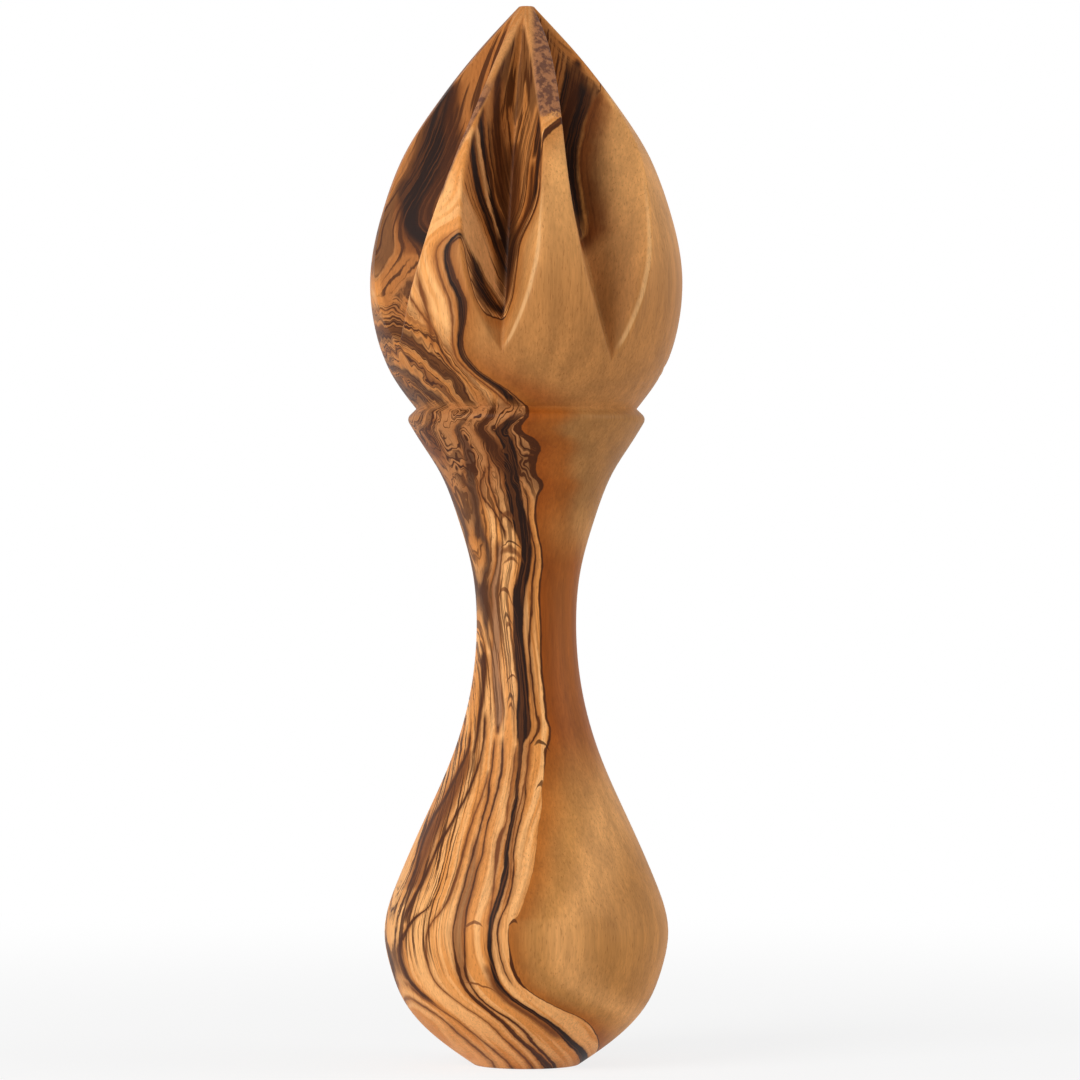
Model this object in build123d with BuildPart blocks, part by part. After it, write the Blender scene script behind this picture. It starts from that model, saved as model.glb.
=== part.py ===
from build123d import *
import os
from math import cos, radians, sin, tan

# A hand-held citrus reamer, turned and carved from one piece of olive wood.
# Millimetres. The foot's centre is the origin and +Z runs up the turning axis to the tip.
# Seen along +Y, the side that faces the viewer is the -Y side.

# Lengths along the axis, foot to tip: 145.0 in all
foot_to_bulb = 18.4
bulb_to_waist = 42.6
waist_to_rim = 27.5
rim_to_groove = 1.3
groove_to_belly = 17.4
belly_to_tip = 37.8

# Radii at the ends of those lengths
foot_radius = 7.15
bulb_radius = 19.45
waist_radius = 6.83
rim_radius = 16.45
groove_radius = 15.1
belly_radius = 21.43
tip_radius = 1.0

# Turned edges
foot_rounding = 0.5
rim_rounding = 0.9
tip_rounding = 0.4

# Points between the stations of the outline:
# share of the height gained, share of the change of radius
foot_to_bulb_shares = [(0.18, 0.378), (0.48, 0.787), (0.72, 0.93)]
bulb_to_waist_shares = [(0.16, 0.144), (0.35, 0.425), (0.55, 0.724), (0.74, 0.915)]
waist_to_rim_shares = [(0.24, 0.06), (0.50, 0.262), (0.74, 0.535), (0.88, 0.79)]
groove_to_belly_shares = [(0.29, 0.56), (0.67, 0.913)]
belly_to_tip_shares = [(0.28, 0.098), (0.46, 0.228), (0.63, 0.427), (0.81, 0.682)]

# The flutes are V grooves, cut by eye from the tip down to pointed feet on the lower head.
# Each is worked out at four heights: just above the tip, the shoulder, the belly, and below its foot.
shoulder_height_share = 0.55
flute_end_height_share = 0.184
flute_overrun = 1.0
flute_cutter_depth = 14.0
flute_root_radius = 0.4
arris_rounding = 0.4

# Half of each V's angle, in degrees
flute_half_angles = [44.0, 40.5, 39.0, 41.0, 40.0, 41.0, 42.0]

# Bearing of each groove's bottom at the four heights, in degrees from the front towards +X
flute_bearings = [
    (-48.0, -53.0, -59.5, -58.0),
    (-8.0, -10.0, -10.0, -9.0),
    (66.0, 44.5, 36.0, 37.0),
    (120.0, 115.0, 113.0, 114.0),
    (165.0, 162.0, 160.0, 161.0),
    (210.0, 208.0, 206.0, 207.0),
    (255.0, 252.0, 251.0, 252.0),
]

# Distance of each groove's bottom from the axis at the four heights, shares of the belly's radius
flute_bottom_shares = [
    (0.045, 0.385, 0.715, 1.110),
    (0.055, 0.400, 0.727, 0.995),
    (0.030, 0.260, 0.682, 0.936),
    (0.055, 0.395, 0.730, 1.005),
    (0.045, 0.380, 0.720, 0.985),
    (0.055, 0.400, 0.735, 1.010),
    (0.045, 0.390, 0.725, 1.030),
]


def between(start, end, shares):
    """Outline points between two stations, each given as (radius, height)."""
    points = []
    for height_share, radius_share in shares:
        radius = start[0] + radius_share * (end[0] - start[0])
        height = start[1] + height_share * (end[1] - start[1])
        points.append((radius, height))
    return points


# Heights above the foot
bulb_height = foot_to_bulb
waist_height = bulb_height + bulb_to_waist
rim_height = waist_height + waist_to_rim
groove_height = rim_height + rim_to_groove
belly_height = groove_height + groove_to_belly
overall_height = belly_height + belly_to_tip
shoulder_height = belly_height + shoulder_height_share * belly_to_tip
flute_end_height = groove_height + flute_end_height_share * groove_to_belly

# Stations of the outline, each as (radius, height)
foot = (foot_radius, 0)
bulb = (bulb_radius, bulb_height)
waist = (waist_radius, waist_height)
rim = (rim_radius, rim_height)
groove = (groove_radius, groove_height)
belly = (belly_radius, belly_height)
tip = (tip_radius, overall_height)


with BuildPart() as reamer:
    # Turned blank: handle, collar, V groove above the collar, and pointed head
    with BuildSketch(Plane.XZ):
        with BuildLine():
            Line((0, 0), foot)
            Spline(foot, *between(foot, bulb, foot_to_bulb_shares), bulb,
                   *between(bulb, waist, bulb_to_waist_shares), waist,
                   *between(waist, rim, waist_to_rim_shares), rim)
            Line(rim, groove)
            Spline(groove, *between(groove, belly, groove_to_belly_shares), belly,
                   *between(belly, tip, belly_to_tip_shares), tip)
            Line(tip, (0, overall_height))
            Line((0, overall_height), (0, 0))
        make_face()
    revolve(axis=Axis.Z)
    for height, rounding in ((0, foot_rounding), (rim_height, rim_rounding), (overall_height, tip_rounding)):
        turned_edge = edges().filter_by(GeomType.CIRCLE).sort_by(lambda edge: abs(edge.center().Z - height))[0]
        fillet(turned_edge, rounding)

    # Carved flutes
    flute_heights = (overall_height + flute_overrun, shoulder_height, belly_height, flute_end_height)
    for half_angle, bearings, bottom_shares in zip(flute_half_angles, flute_bearings, flute_bottom_shares):
        for height, bearing, bottom_share in zip(flute_heights, bearings, bottom_shares):
            outward = (sin(radians(bearing)), -cos(radians(bearing)), 0)
            with BuildSketch(Plane(origin=(0, 0, height), x_dir=outward, z_dir=(0, 0, 1))):
                with BuildLine():
                    bottom = bottom_share * belly_radius
                    outside = bottom + flute_cutter_depth
                    spread = flute_cutter_depth * tan(radians(half_angle))
                    Polyline((bottom, 0), (outside, -spread), (outside, spread), close=True)
                make_face()
                fillet(vertices().sort_by(Axis.X)[0], flute_root_radius)
        loft(mode=Mode.SUBTRACT)

    # Arrises, sanded over where the flutes' walls meet the turned head
    head_face = faces().filter_by(GeomType.REVOLUTION).sort_by(Axis.Z)[-1]
    flute_faces = faces().filter_by(GeomType.BSPLINE).filter_by(
        lambda face: face.bounding_box().size.Z > shoulder_height - belly_height
    )
    fillet((head_face.edges() & flute_faces.edges()).sort_by(Axis.Z), arris_rounding)

reamer.part.label = "reamer"
os.makedirs("parts", exist_ok=True)
export_step(reamer.part, "parts/reamer.step")
print("volume", round(reamer.part.volume), "solids", len(reamer.part.solids()))
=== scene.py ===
from math import asin, atan2, cos, pi, radians, sin, sqrt, tan

import bmesh
import bpy
import numpy as np
from mathutils import Matrix, Vector


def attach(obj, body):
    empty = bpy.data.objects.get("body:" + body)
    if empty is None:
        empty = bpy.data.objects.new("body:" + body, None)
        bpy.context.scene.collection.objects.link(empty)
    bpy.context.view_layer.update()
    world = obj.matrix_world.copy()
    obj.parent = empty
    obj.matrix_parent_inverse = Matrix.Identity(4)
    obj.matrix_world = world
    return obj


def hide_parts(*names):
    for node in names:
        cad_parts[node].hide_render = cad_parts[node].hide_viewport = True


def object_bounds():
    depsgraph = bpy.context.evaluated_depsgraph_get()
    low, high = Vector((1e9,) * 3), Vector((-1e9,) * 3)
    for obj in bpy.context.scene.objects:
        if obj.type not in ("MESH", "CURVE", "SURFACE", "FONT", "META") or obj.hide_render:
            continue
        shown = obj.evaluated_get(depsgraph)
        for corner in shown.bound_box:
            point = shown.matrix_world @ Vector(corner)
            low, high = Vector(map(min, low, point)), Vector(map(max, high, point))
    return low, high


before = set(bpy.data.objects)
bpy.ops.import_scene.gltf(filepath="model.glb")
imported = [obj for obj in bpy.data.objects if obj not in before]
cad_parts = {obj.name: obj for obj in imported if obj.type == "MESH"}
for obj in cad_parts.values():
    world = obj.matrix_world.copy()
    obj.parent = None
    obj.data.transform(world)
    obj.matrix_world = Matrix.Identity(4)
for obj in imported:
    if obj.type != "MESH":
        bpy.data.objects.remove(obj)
cad_low, cad_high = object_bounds()

# Everything is in metres, in the CAD's frame: the foot's centre is the origin and +Z runs to the tip.
MM = 0.001
HEIGHT_MM = (cad_high.z - cad_low.z) / MM

# Camera: level, 720 mm in front of the turning axis, measured from the photograph
CAMERA_PLACE_MM = (1.86, -720.0, 71.85)
FOCAL_PIXELS = 5251
PHOTO_PIXELS = 1080
SENSOR_MM = 36.0


def linear(hex_colour):
    """An sRGB hex colour as the linear RGBA that Blender's sockets hold."""
    channels = [int(hex_colour[i:i + 2], 16) / 255 for i in (1, 3, 5)]
    return [c / 12.92 if c <= 0.04045 else ((c + 0.055) / 1.055) ** 2.4 for c in channels] + [1.0]


def add(tree, kind, *inputs, **settings):
    """Adds a node with its settings. Each input is a value, or the output or node that feeds it. They are given
    in the order of the sockets in use, or in one dict by name."""
    node = tree.nodes.new("ShaderNode" + kind)
    for name, value in settings.items():
        setattr(node, name, value)
    in_use = [socket for socket in node.inputs if socket.enabled]
    named = inputs[0].items() if inputs and isinstance(inputs[0], dict) else enumerate(inputs)
    for key, value in named:
        socket = node.inputs[key] if isinstance(key, str) else in_use[key]
        if isinstance(value, bpy.types.Node):
            value = next(output for output in value.outputs if output.enabled)
        if isinstance(value, bpy.types.NodeSocket):
            tree.links.new(value, socket)
        else:
            socket.default_value = value
    return node


# The setting of a Map Range node that eases in and out
EASED = {"interpolation_type": "SMOOTHSTEP"}

# The tree that the blank was cut from. Its pith leans behind the reamer's left side, and the
# growth layers are rings around it. Each list is (height in mm, value in mm).
PITH_X = [(0, -35.5), (20, -38.5), (45, -32), (61, -30), (75, -24.5), (90, -26), (105, -13), (120, -9), (145, -1.5)]
PITH_FORWARD = [(0, 18), (20, 10.5), (45, -1.5), (75, 14.5), (90, 3), (105, -5), (120, 4.5), (145, 4)]
HEARTWOOD_RADIUS = [
    (0, 46.5), (6, 41), (18, 34.3), (30, 36.5), (45, 34), (61, 29), (76, 24), (86, 23), (89.5, 27), (96, 25.2),
    (104, 25), (115, 18.3), (130, 14.7), (145, 20),
]

# Colours of the oiled wood: dark veins, their stains, the heartwood, the mottled ridge tops, and the sapwood
INK, UMBER, SMOKE, WALNUT = "#241007", "#4a240c", "#5d3c26", "#7a4420"
RUST, TAWNY, VEIN_TAN, VEIN_HAZE, COLLAR_TAN = "#8a4718", "#a8652f", "#a06e42", "#a87650", "#b0764a"
HONEY_DEEP, HONEY, HONEY_PALE = "#e2944c", "#e6a264", "#f8b571"
MAUVE, MAUVE_PALE = "#6b4636", "#a8714c"
SAP_RED, SAP_RUST, SAP_BROWN, SAP_TAN, SAP_PALE = "#964b14", "#a25a20", "#ad6527", "#c58848", "#e0a160"
# The last of these is a pale colour painted on as highlight along the arrises that face the key light
SAP_FLUTE, SAP_LOW_HEAD, SAP_FLARED, SAP_HEAD, PAINTED_ARRIS_HIGHLIGHT = "#8f4e20", "#a05a26", "#ab7640", "#b97e45", "#f2c186"

# Outer edge of the honey-coloured heartwood, in mm outside the layer that the rings are measured from:
# (height, place)
SAP_EDGE = [
    (0, 2.0), (3.5, 4.0), (5, 4.6), (6.6, 4.8), (8.5, 4.2), (10, 3.4), (11.3, 2.8), (12.8, 2.3), (17, 2.6),
    (20.6, 2.75), (21.6, 3.8), (24, 4.0), (27, 4.0), (30.3, 3.8), (33.6, 3.5), (37, 2.8), (38.7, 2.4),
    (43, 2.2), (44.7, 2.55), (46, 2.6), (48, 2.1), (53.5, 2.15), (57, 2.4), (60.3, 2.8), (65, 2.9), (70.5, 2.5),
    (74, 2.1), (77, 2.5), (78.5, 3.2), (79.4, 3.6), (80.8, 2.8), (83, 3.1), (84.6, 4.0), (86, 3.2), (88.5, 2.2),
    (91, 1.4), (95, 0.6), (100, 0.15), (113, 0.1), (120, 0.2), (128, -0.1), (145, 0.5),
]

# Dark veins: (colour, softness of its edges in mm, [(height, place among the layers, half its width)]).
# The renderer has room for only a few more in one material before it draws the wood black.
VEINS = [
    (WALNUT, 0.8, [(26, -12.8, 0.6), (30.3, -12.6, 0.9), (33.6, -11.8, 1.1), (37, -10.7, 1.1), (40.2, -9.6, 0.9),
        (42, -8.8, 0.5)]),
    (VEIN_TAN, 0.5, [(13.8, -5.0, 0.2), (17.2, -4.3, 0.35), (20.5, -4.2, 0.35), (23.8, -4.1, 0.35),
        (27, -4.2, 0.3), (30.3, -4.45, 0.15)]),
    (WALNUT, 0.4, [(6, -1.1, 0.5), (8, -1.4, 0.5), (10.4, -1.6, 0.5), (12, -1.5, 0.5), (13.5, -1.2, 0.3)]),
    (UMBER, 0.1, [(0, -6.2, 0.6), (3.1, -6.3, 0.45), (5, -6.5, 0.35), (8.7, -6.3, 0.4), (10.4, -6.0, 0.35),
        (12.3, -5.8, 0.25), (13.8, -5.4, 0.25), (17.2, -5.1, 0.12), (23.8, -4.8, 0.12), (27, -4.9, 0.12),
        (30.3, -4.6, 0.2), (33.6, -4.4, 0.15), (36.9, -4.4, 0.2), (40.2, -4.6, 0.1), (43.5, -4.6, 0.12)]),
    (UMBER, 0.1, [(0, -5.2, 0.3), (3.8, -5.2, 0.25), (6, -4.75, 0.25), (7.8, -4.9, 0.25), (9.3, -5.3, 0.2),
        (11.6, -4.95, 0.12), (13.8, -4.5, 0.2), (17.2, -3.65, 0.12), (20.5, -3.4, 0.12), (27, -3.6, 0.12),
        (30.3, -3.2, 0.1), (33.6, -3.5, 0.12), (36.9, -3.3, 0.15), (40.2, -3.15, 0.2), (43.5, -3.3, 0.15)]),
    (WALNUT, 0.12, [(22, -0.1, 0.1), (24, -0.45, 0.1), (25.5, -0.7, 0.12), (27, -0.95, 0.14), (30.3, -1.2, 0.3),
        (32.3, -1.2, 0.3), (33.6, -1.0, 0.12), (36.9, -1.35, 0.1), (40.2, -1.5, 0.1), (42.5, -1.5, 0.1)]),
    (UMBER, 0.15, [(21.5, -12.3, 0.3), (23.1, -12.0, 0.3), (25.1, -11.6, 0.3), (27.7, -11.2, 0.3),
        (30.3, -10.6, 0.28), (32.3, -9.8, 0.28), (34.2, -9.0, 0.25), (36.9, -8.0, 0.22), (40.2, -7.0, 0.2),
        (43.5, -6.4, 0.18), (46.8, -6.2, 0.2)]),
    (WALNUT, 0.1, [(0, -8.4, 0.2), (3.1, -8.45, 0.18), (6.8, -8.6, 0.12), (10.4, -9.0, 0.12), (11.8, -9.4, 0.12),
        (13.8, -9.5, 0.12), (16.5, -9.2, 0.12), (18.5, -8.9, 0.12), (20.5, -8.2, 0.12), (21.8, -7.3, 0.13),
        (23.8, -6.5, 0.16), (27, -6.4, 0.18), (30.3, -6.1, 0.16), (33.6, -5.9, 0.14), (36.9, -5.5, 0.12),
        (39, -5.1, 0.1)]),
    (UMBER, 0.2, [(23.8, -13.0, 0.2), (27, -13.3, 0.25), (30.3, -13.5, 0.3), (33.6, -13.0, 0.35),
        (35.5, -12.3, 0.35), (38.2, -11.2, 0.35), (40.2, -10.3, 0.35), (42.2, -9.3, 0.3), (44, -8.8, 0.2)]),
    (UMBER, 0.12, [(10.4, -12.7, 0.3), (13.5, -12.9, 0.3), (15.8, -13.0, 0.25), (18.5, -12.3, 0.25),
        (20.5, -11.2, 0.25), (21.8, -10.0, 0.2), (22.3, -9.0, 0.1)]),
    (WALNUT, 0.1, [(0, -11.1, 0.15), (3.1, -11.4, 0.14), (7.5, -12.5, 0.12), (10.4, -13.2, 0.12)]),
    (WALNUT, 0.1, [(1, -12.9, 0.15), (3, -13.2, 0.15), (5.2, -13.8, 0.15), (8.5, -14.4, 0.15)]),
    (UMBER, 0.08, [(46.8, -4.1, 0.2), (50.2, -4.5, 0.2), (53.5, -4.6, 0.17), (56.9, -4.1, 0.14),
        (60.3, -3.45, 0.14), (63.7, -3.25, 0.12), (67.1, -3.1, 0.13), (70, -3.0, 0.1)]),
    (WALNUT, 0.08, [(48.5, -3.8, 0.2), (50.2, -3.7, 0.2), (53.5, -3.95, 0.12), (56.9, -3.65, 0.1),
        (60.3, -3.0, 0.1), (63.7, -2.65, 0.1), (65, -2.45, 0.08)]),
    (UMBER, 0.1, [(73.2, -2.2, 0.12), (74.6, -2.6, 0.12), (76, -3.2, 0.12), (77.3, -3.9, 0.12),
        (79.3, -4.25, 0.12), (80.6, -3.7, 0.1)]),
    (UMBER, 0.1, [(74.6, -1.2, 0.13), (75.2, -2.0, 0.12), (76.6, -2.6, 0.12), (78, -2.9, 0.12), (80, -3.2, 0.12),
        (82, -3.0, 0.1)]),
    (UMBER, 0.08, [(13.8, 1.1, 0.1), (17.2, 1.22, 0.1), (20.5, 1.35, 0.12), (22, 1.6, 0.12), (23.8, 1.9, 0.15),
        (27, 1.5, 0.13), (30.3, 1.05, 0.1), (33.6, 0.95, 0.1), (36.9, 0.7, 0.08), (40.2, 0.2, 0.1),
        (43.5, 0.1, 0.1), (45, 0.7, 0.15), (46.8, 1.2, 0.2), (48.3, 1.0, 0.12), (50.2, 0.9, 0.14),
        (53.5, 0.82, 0.14), (56.9, 0.95, 0.13), (60.3, 1.4, 0.14), (63.7, 1.8, 0.16), (67.1, 1.78, 0.15),
        (70.5, 1.6, 0.13), (72, 1.3, 0.12), (73.9, 1.1, 0.12), (77.3, 1.35, 0.1)]),
    (WALNUT, 0.07, [(24.5, 1.35, 0.05), (27, 1.1, 0.06), (30.3, 0.65, 0.06), (33.6, 0.4, 0.07), (36.9, 0.2, 0.08),
        (40.2, 0.25, 0.08), (43.5, 0.15, 0.08)]),
    (VEIN_HAZE, 0.2, [(48, -4.1, 0.4), (53, -4.2, 0.5), (60, -3.2, 0.4), (66, -2.8, 0.3), (70, -2.8, 0.2)]),
    (SMOKE, 0.2, [(58.5, -4.6, 0.1), (60.2, -4.4, 0.2), (62.2, -4.0, 0.4), (65, -3.7, 0.35), (67, -3.8, 0.2),
        (71, -4.1, 0.25), (73.1, -4.6, 0.3), (77.2, -4.8, 0.35), (79.9, -5.2, 0.4), (82.6, -5.4, 0.6),
        (86.6, -5.9, 0.5)]),
    (UMBER, 0.2, [(44, -7.6, 0.2), (47, -7.3, 0.3), (50.5, -6.6, 0.3), (52.7, -6.2, 0.4), (55.4, -5.8, 0.5),
        (56.5, -5.5, 0.1)]),
    (UMBER, 0.5, [(80, -1.0, 0.2), (81.5, -1.2, 0.6), (83.5, -1.6, 1.1), (85, -1.9, 1.0), (87.5, -2.5, 0.5)]),
    (WALNUT, 0.15, [(75, -6.4, 0.2), (77.2, -6.6, 0.3), (80, -7.4, 0.3), (82.7, -8.4, 0.35), (85, -9.6, 0.4),
        (87, -11.0, 0.4)]),
    (INK, 0.12, [(0, 0.3, 0.9), (2.5, 0.2, 0.85), (5, 0.0, 0.6), (6.8, -0.1, 0.5), (9, -0.35, 0.45),
        (10.4, -0.6, 0.45), (11.8, -0.9, 0.45), (13.8, -0.5, 0.35), (15.8, -0.2, 0.33), (18.6, 0.12, 0.33),
        (22, 0.4, 0.4), (23.8, 0.5, 0.42), (27, 0.4, 0.4), (28.8, 0.2, 0.36), (30.3, 0.0, 0.34),
        (33.6, -0.15, 0.33), (36.9, -0.5, 0.28), (40.2, -0.8, 0.25), (43.5, -0.85, 0.3), (45, -0.8, 0.55),
        (46.8, -0.6, 0.9), (48.3, -0.75, 0.9), (50.2, -0.6, 0.8), (53.5, -0.45, 0.78), (57, -0.45, 0.75),
        (60.3, -0.25, 0.7), (63.7, 0.15, 0.75), (67.1, 0.45, 0.78), (70.5, 0.5, 0.7), (71.8, 0.3, 0.8),
        (73.9, 0.05, 1.0), (77.3, -0.3, 1.0), (80.6, -0.2, 1.0), (84, 0.35, 0.85), (86, 0.6, 0.85),
        (87.3, 0.9, 0.8)]),
]
# The least and greatest place of a vein, and the greatest half width, in mm
VEIN_SPAN, MOST_WIDTH = (-17, 8), 4.0
# Over how many mm a vein fades in and out at its ends, and how far its stain spreads
VEIN_END, STAIN_REACH = 1.5, 0.5

# Short dark arches that close the cells between veins:
# (colour, softness, height, place, half length, half thickness, lean, how far the ends bow down)
ARCHES = [
    (WALNUT, 0.5, 20.6, -2.2, 1.3, 0.25, 0.0, 0.5), (WALNUT, 0.6, 12.2, -3.5, 1.7, 0.2, 0.9, 0.4),
    (UMBER, 0.5, 21.1, 3.3, 0.6, 0.25, 0.0, 0.4), (UMBER, 0.6, 38.9, 2.1, 0.35, 0.25, 0.0, 0.5),
    (INK, 0.6, 44.6, 1.7, 0.9, 0.25, 0.4, 0.8), (SMOKE, 0.8, 50.7, -2.3, 0.6, 0.3, 0.0, 1.6),
    (WALNUT, 0.8, 49.6, -2.3, 0.4, 0.3, 0.0, 1.0), (WALNUT, 0.5, 53.2, -2.0, 0.8, 0.14, -0.3, 0.8),
    (SMOKE, 0.8, 61.9, -1.6, 0.7, 0.3, 0.0, 2.8), (WALNUT, 0.8, 60.6, -1.6, 0.5, 0.4, 0.0, 2.0),
    (WALNUT, 0.6, 64.9, -1.6, 1.2, 0.28, 0.2, 2.6), (WALNUT, 0.8, 70.3, -1.4, 1.4, 0.45, 0.3, 0.9),
    (WALNUT, 0.8, 69.2, -1.4, 0.9, 0.3, 0.0, 0.9), (UMBER, 0.5, 71.3, -1.4, 1.3, 0.14, 0.0, 0.8),
    (WALNUT, 0.8, 75.2, -1.7, 0.9, 0.4, -0.5, 0.9), (WALNUT, 0.6, 66.8, -5.0, 0.8, 0.3, 0.0, 2.0),
]

# Darker patches deep in the flutes; the two at the front flute's root are painted shade: (colour, strength, centre,
# half its size)
DARK_PATCHES_AND_ROOT_SHADE = [
    (INK, 0.9, (-2.5, -14.2, 110.0), (1.8, 2.8, 6.5)),
    (UMBER, 0.8, (-2.0, -12.0, 121.0), (1.6, 2.6, 6.5)),
    (INK, 0.8, (-16.5, -4.7, 119.4), (1.0, 2.5, 1.6)),
    (INK, 0.8, (-4.1, -5.3, 138.6), (0.5, 1.5, 1.1)),
]

# How far right the streaks of the front flute's left wall have run at each height: (height, mm)
WALL_SLANT = [(0, -9), (96, -7), (100, -3.5), (105, 0), (108, 1.8), (114, 4.0), (121, 6.3), (131, 7.5), (145, 8.5)]

# Where the dark wood's middle runs in the right flute: (height, x)
RIGHT_FLUTE_X = [
    (0, 9), (100, 9), (110, 7.4), (114.6, 6.9), (119, 6.3), (123.1, 5.9), (127.4, 6.5), (131.6, 7.7),
    (135.9, 8.6), (145, 10),
]

# Where the mottled strip of the left ridge lies: (height, x)
STRIP_X = [
    (0, -13.5), (112, -13.5), (118.2, -12.0), (123.1, -10.2), (126, -8.9), (128.1, -7.9), (131.6, -6.1),
    (136, -4.0), (145, -1),
]

# Veins that show on the head's turned faces, and those that show inside its flutes
TURNED_VEINS = [
    (WALNUT, 0.12, [(90, -0.6, 0.2), (95, -0.9, 0.15), (99, -1.1, 0.12), (103.8, -1.15, 0.12), (108, -1.1, 0.1),
        (112, -0.9, 0.08)]),
    (WALNUT, 0.2, [(99, -4.0, 0.12), (102, -3.9, 0.2), (105, -3.6, 0.25), (107, -3.3, 0.1)]),
    (WALNUT, 0.15, [(95.5, -2.6, 0.12), (99, -3.2, 0.12), (102, -4.6, 0.15), (105.5, -5.6, 0.15)]),
    (INK, 0.15, [(89.8, 0.6, 0.7), (92, 0.4, 0.6), (95, 0.05, 0.4), (99, -0.15, 0.35), (103.8, -0.2, 0.38),
        (108, -0.1, 0.35), (111, -0.1, 0.25), (113.5, -0.35, 0.12)]),
]
LEFT_FLUTE_VEINS = [
    (UMBER, 0.9, [(112, -12.6, 1.4), (115.4, -12.4, 2.0), (119, -11.5, 2.8), (122, -11.0, 3.0),
        (125.5, -10.6, 2.8), (129, -9.6, 2.0), (133, -9.4, 1.2)]),
    (INK, 0.5, [(112, -12.3, 0.7), (115.4, -11.8, 0.9), (119, -10.7, 1.5), (122, -10.2, 1.8), (125.5, -9.6, 1.6),
        (129, -8.8, 1.0), (133, -8.9, 0.7)]),
]
LEFT_WALL_VEINS = [
    (UMBER, 0.5, [(104, 0.5, 0.5), (108, 1.6, 0.9), (112, 2.2, 1.1), (116, 3.2, 0.9), (119, 4.8, 0.6),
        (124, 5.4, 0.5)]),
    (INK, 0.15, [(108, -0.8, 0.3), (112, -0.9, 0.4), (116.7, -0.6, 0.5), (120.2, -0.5, 0.4), (124.5, -0.3, 0.3),
        (128.1, -0.1, 0.2)]),
    (INK, 0.15, [(110, 0.2, 0.3), (115.3, 0.55, 0.45), (121.6, 1.3, 0.35), (126, 1.15, 0.35), (131.6, 1.3, 0.4)]),
    (UMBER, 0.2, [(122, -2.4, 0.3), (126, -2.0, 0.4), (130, -1.4, 0.5), (133, -0.8, 0.4)]),
    (UMBER, 0.2, [(118, 2.4, 0.3), (124, 3.0, 0.5), (130, 3.4, 0.5), (135, 4.0, 0.4)]),
]
# Paler streaks that lie clear between the left wall's
PALE_STREAKS = [
    (HONEY, 0.2, [(114, -0.1, 0.15), (116.7, 0.2, 0.25), (120.2, 0.6, 0.3), (126, 0.55, 0.3), (128, 0.5, 0.15)]),
    (HONEY, 0.35, [(105, -3.9, 0.3), (106.5, -3.6, 0.6), (109, -3.2, 1.0), (112, -3.4, 1.4), (115, -3.7, 1.5),
        (119, -4.2, 1.7), (121, -4.4, 1.6)]),
]
RIGHT_WALL_VEINS = [
    (WALNUT, 0.12, [(107, -1.4, 0.12), (110.4, -2.0, 0.12), (113.9, -3.1, 0.12), (117.4, -4.2, 0.14),
        (120.5, -5.0, 0.12)]),
    (INK, 0.3, [(124.5, -1.5, 0.5), (127.3, -1.8, 0.7), (131.4, -2.5, 0.8), (134.7, -3.5, 0.7), (137, -4.6, 0.5)]),
    (INK, 0.25, [(116.7, -0.6, 0.3), (119.5, -0.3, 0.5), (122.8, -0.3, 0.5), (125, -0.6, 0.4)]),
    (UMBER, 0.08, [(104, 0.8, 0.1), (110.4, 0.75, 0.1), (113.9, 0.8, 0.12), (117.4, 0.75, 0.12),
        (120.7, 0.6, 0.1), (124, 0.2, 0.1)]),
    (UMBER, 0.4, [(104, -0.6, 0.4), (107, -0.8, 0.6), (111, -0.9, 0.6), (114, -1.0, 0.6), (117, -1.3, 0.5),
        (121, -1.6, 0.4)]),
    (UMBER, 0.5, [(110, -3.4, 0.4), (114, -4.2, 0.6), (119, -6.0, 0.8), (124, -7.0, 0.7)]),
]
# Dark streaks along the right flute: (place across it, half its width, colour)
RIGHT_FLUTE_STREAKS = [(-1.5, 0.9, UMBER), (0.0, 0.95, INK), (-2.9, 0.45, INK)]
# The vein along the lower edge of the streaks on the front flute's left wall: (height, place, half its width)
WALL_EDGE_TRACK = [(101, 0.3, 0.2), (103.8, -0.1, 0.4), (107, 0.0, 0.42), (110.4, -0.1, 0.36), (113.5, -0.5, 0.25)]
# Half the width of the dark line where heartwood meets sapwood: (height, mm)
RIM_WIDTH = [
    (0, 0.1), (11, 0.1), (14, 0.3), (16, 0.15), (19, 0.05), (23, 0.0), (39, 0.0), (44, 0.15), (77, 0.15),
    (79.4, 0.4), (82, 0.5), (85, 0.7), (88, 0.3), (95, 0.1), (120, 0.1), (125, 0.3), (130, 0.35), (134, 0.1),
    (145, 0.1),
]
# Upright planes through the axis that part the head's faces, as the x that each has at a y of -1
LEFT_RIDGE, FRONT_FLUTE, FRONT_RIDGE = -0.554, -0.167, 0.2
RIGHT_FLUTE_LEFT, RIGHT_FLUTE, RIGHT_FLUTE_END = 0.4, 0.75, 3.0
# Dark bands low on the head's left, where the layers turn over: (height of the band, half its width, colour)
TURNED_OVER = [
    (100.2, 0.9, UMBER), (97.4, 0.35, WALNUT), (95.4, 0.6, SMOKE), (93.4, 0.7, SMOKE), (91.2, 0.5, UMBER),
    (103.2, 0.2, WALNUT),
]


def by_height(tree, height, points, low, high):
    """A value in mm that changes with height, smooth through the given points."""
    curve = add(tree, "FloatCurve", {"Value": height})
    line = curve.mapping.curves[0]
    for _ in points[2:]:
        line.points.new(0, 0)
    for point, (place, value) in zip(line.points, points):
        point.location = (place / HEIGHT_MM, (value - low) / (high - low))
        point.handle_type = "AUTO_CLAMPED"
    curve.mapping.update()
    return add(tree, "Math", curve, high - low, low, operation="MULTIPLY_ADD")


def blotches(tree, place, size, detail=2.0, roughness=0.5):
    """Cloudy blotches that are about size mm along x, y and z."""
    stretched = add(tree, "Mapping", {"Vector": place, "Scale": tuple(1 / part for part in size)})
    return add(tree, "TexNoise", {"Vector": stretched, "Scale": 1.0, "Detail": detail, "Roughness": roughness})


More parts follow.
